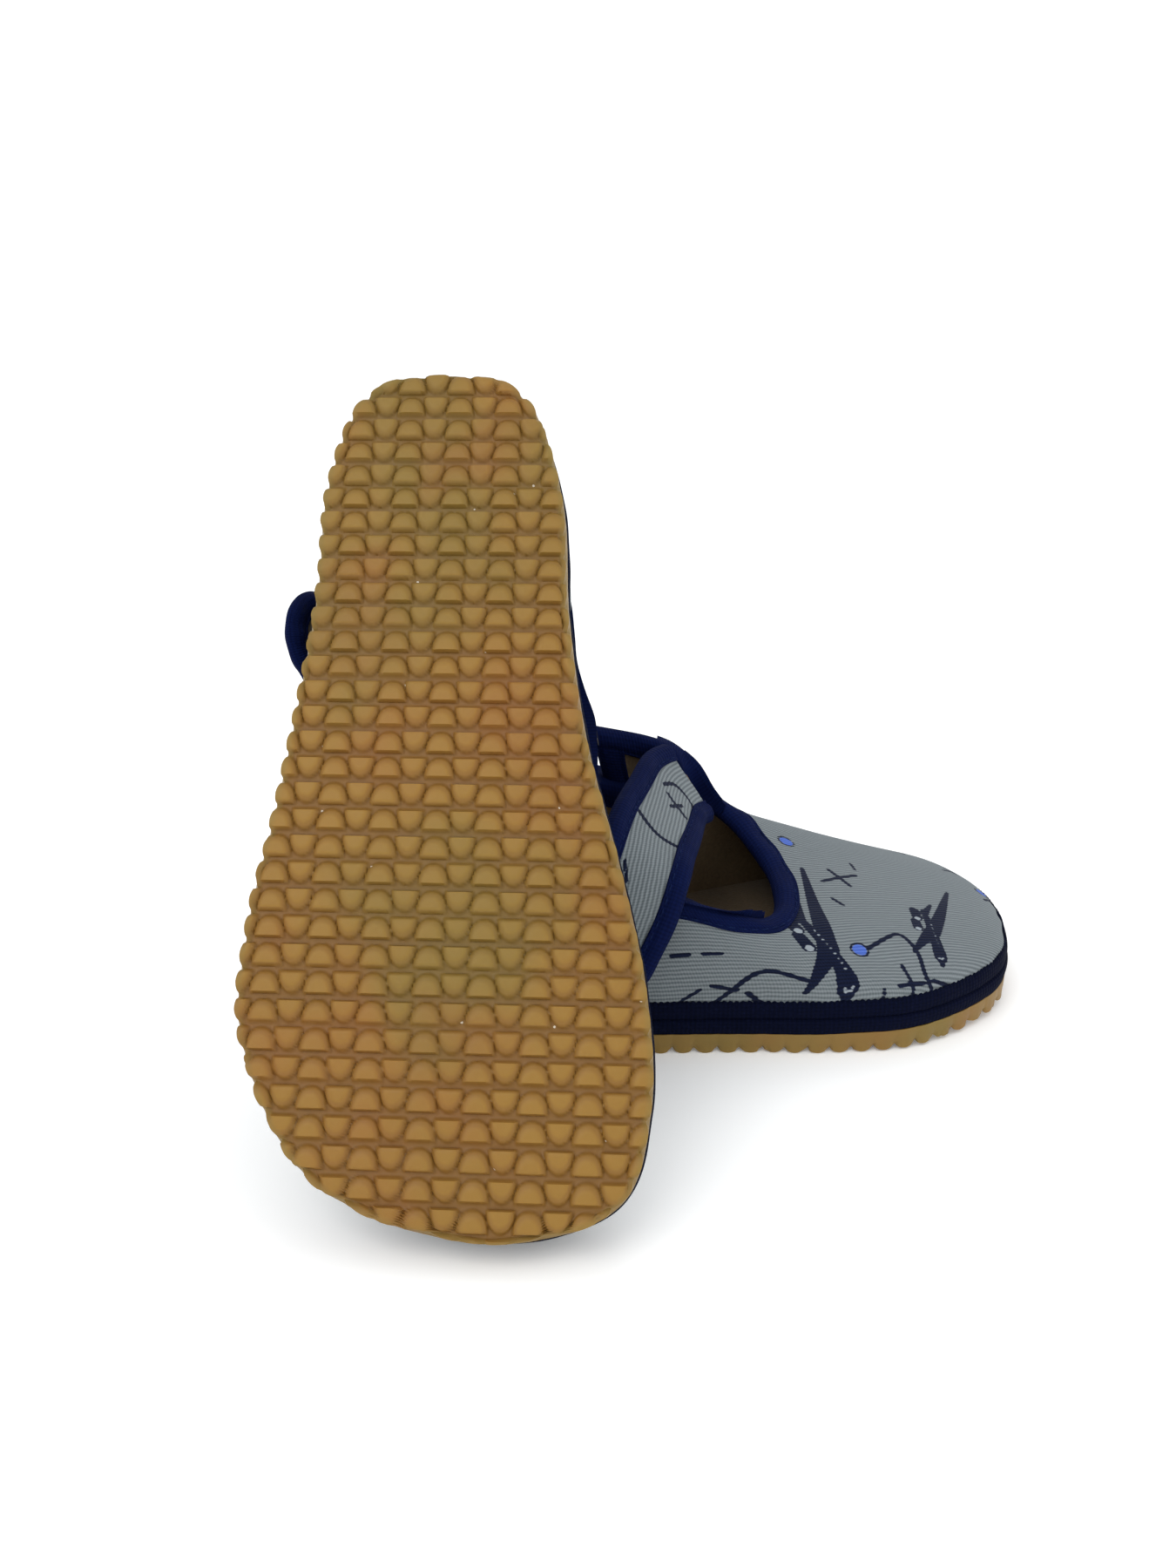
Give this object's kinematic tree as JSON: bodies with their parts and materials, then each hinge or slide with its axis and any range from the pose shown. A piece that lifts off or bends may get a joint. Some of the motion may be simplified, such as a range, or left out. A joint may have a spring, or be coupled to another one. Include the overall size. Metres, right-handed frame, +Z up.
{
  "type": "pair of slippers",
  "caption": "Child's textile slippers with a lugged gum sole, bound edges and a hook-and-loop instep strap; the left shoe leans on the right.",
  "frame": {"origin": "middle of the right shoe's sole, on the ground", "axes": "+X from heel to toe of the right shoe, +Y to its inner (big toe) side, +Z up"},
  "size_m": [0.1915, 0.1474, 0.156],
  "materials": {
    "gum_rubber": "moulded honey gum rubber, satin",
    "navy_tape": "woven cotton tape, matt",
    "printed_twill": "pale grey cotton twill with a navy printed pattern",
    "beige_cotton": "undyed beige cotton, matt",
    "platform_foam": "light foam and board",
    "stiffener_felt": "impregnated felt",
    "fastener_tape": "hook-and-loop tape, matt"
  },
  "bodies": {
    "right_shoe": {"right_outsole": "gum_rubber", "right_platform": "platform_foam", "right_rand": "navy_tape", "right_insole": "beige_cotton", "right_vamp": "printed_twill", "right_vamp_lining": "beige_cotton", "right_toe_puff": "stiffener_felt", "right_throat_binding": "navy_tape", "right_tab_binding": "navy_tape", "right_quarter": "printed_twill", "right_quarter_lining": "beige_cotton", "right_heel_counter": "stiffener_felt", "right_collar_binding": "navy_tape", "right_loop_patch": "fastener_tape"},
    "left_shoe": {"left_outsole": "gum_rubber", "left_platform": "platform_foam", "left_rand": "navy_tape", "left_insole": "beige_cotton", "left_vamp": "printed_twill", "left_vamp_lining": "beige_cotton", "left_toe_puff": "stiffener_felt", "left_throat_binding": "navy_tape", "left_tab_binding": "navy_tape", "left_quarter": "printed_twill", "left_quarter_lining": "beige_cotton", "left_heel_counter": "stiffener_felt", "left_collar_binding": "navy_tape", "left_loop_patch": "fastener_tape"},
    "right_strap": {"right_strap": "printed_twill", "right_strap_lining": "beige_cotton", "right_strap_binding": "navy_tape", "right_hook_patch": "fastener_tape"},
    "left_strap": {"left_strap": "printed_twill", "left_strap_lining": "beige_cotton", "left_strap_binding": "navy_tape", "left_hook_patch": "fastener_tape"}
  },
  "joints": [
    {"name": "left_shoe_lift", "type": "slide", "parent": "right_shoe", "child": "left_shoe", "axis": [0, 0, 1], "range_m": [0, 0.08]},
    {"name": "right_strap_peel", "type": "hinge", "parent": "right_shoe", "child": "right_strap", "pos_m": [0.00375, 0.01325, 0.05334], "axis": [-0.6816, 0, 0.7317], "range_deg": [0, 110]},
    {"name": "left_strap_peel", "type": "hinge", "parent": "left_shoe", "child": "left_strap", "pos_m": [-0.04063, -0.01409, 0.04932], "axis": [-0.1868, -0.97, -0.1559], "range_deg": [0, 10]}
  ]
}
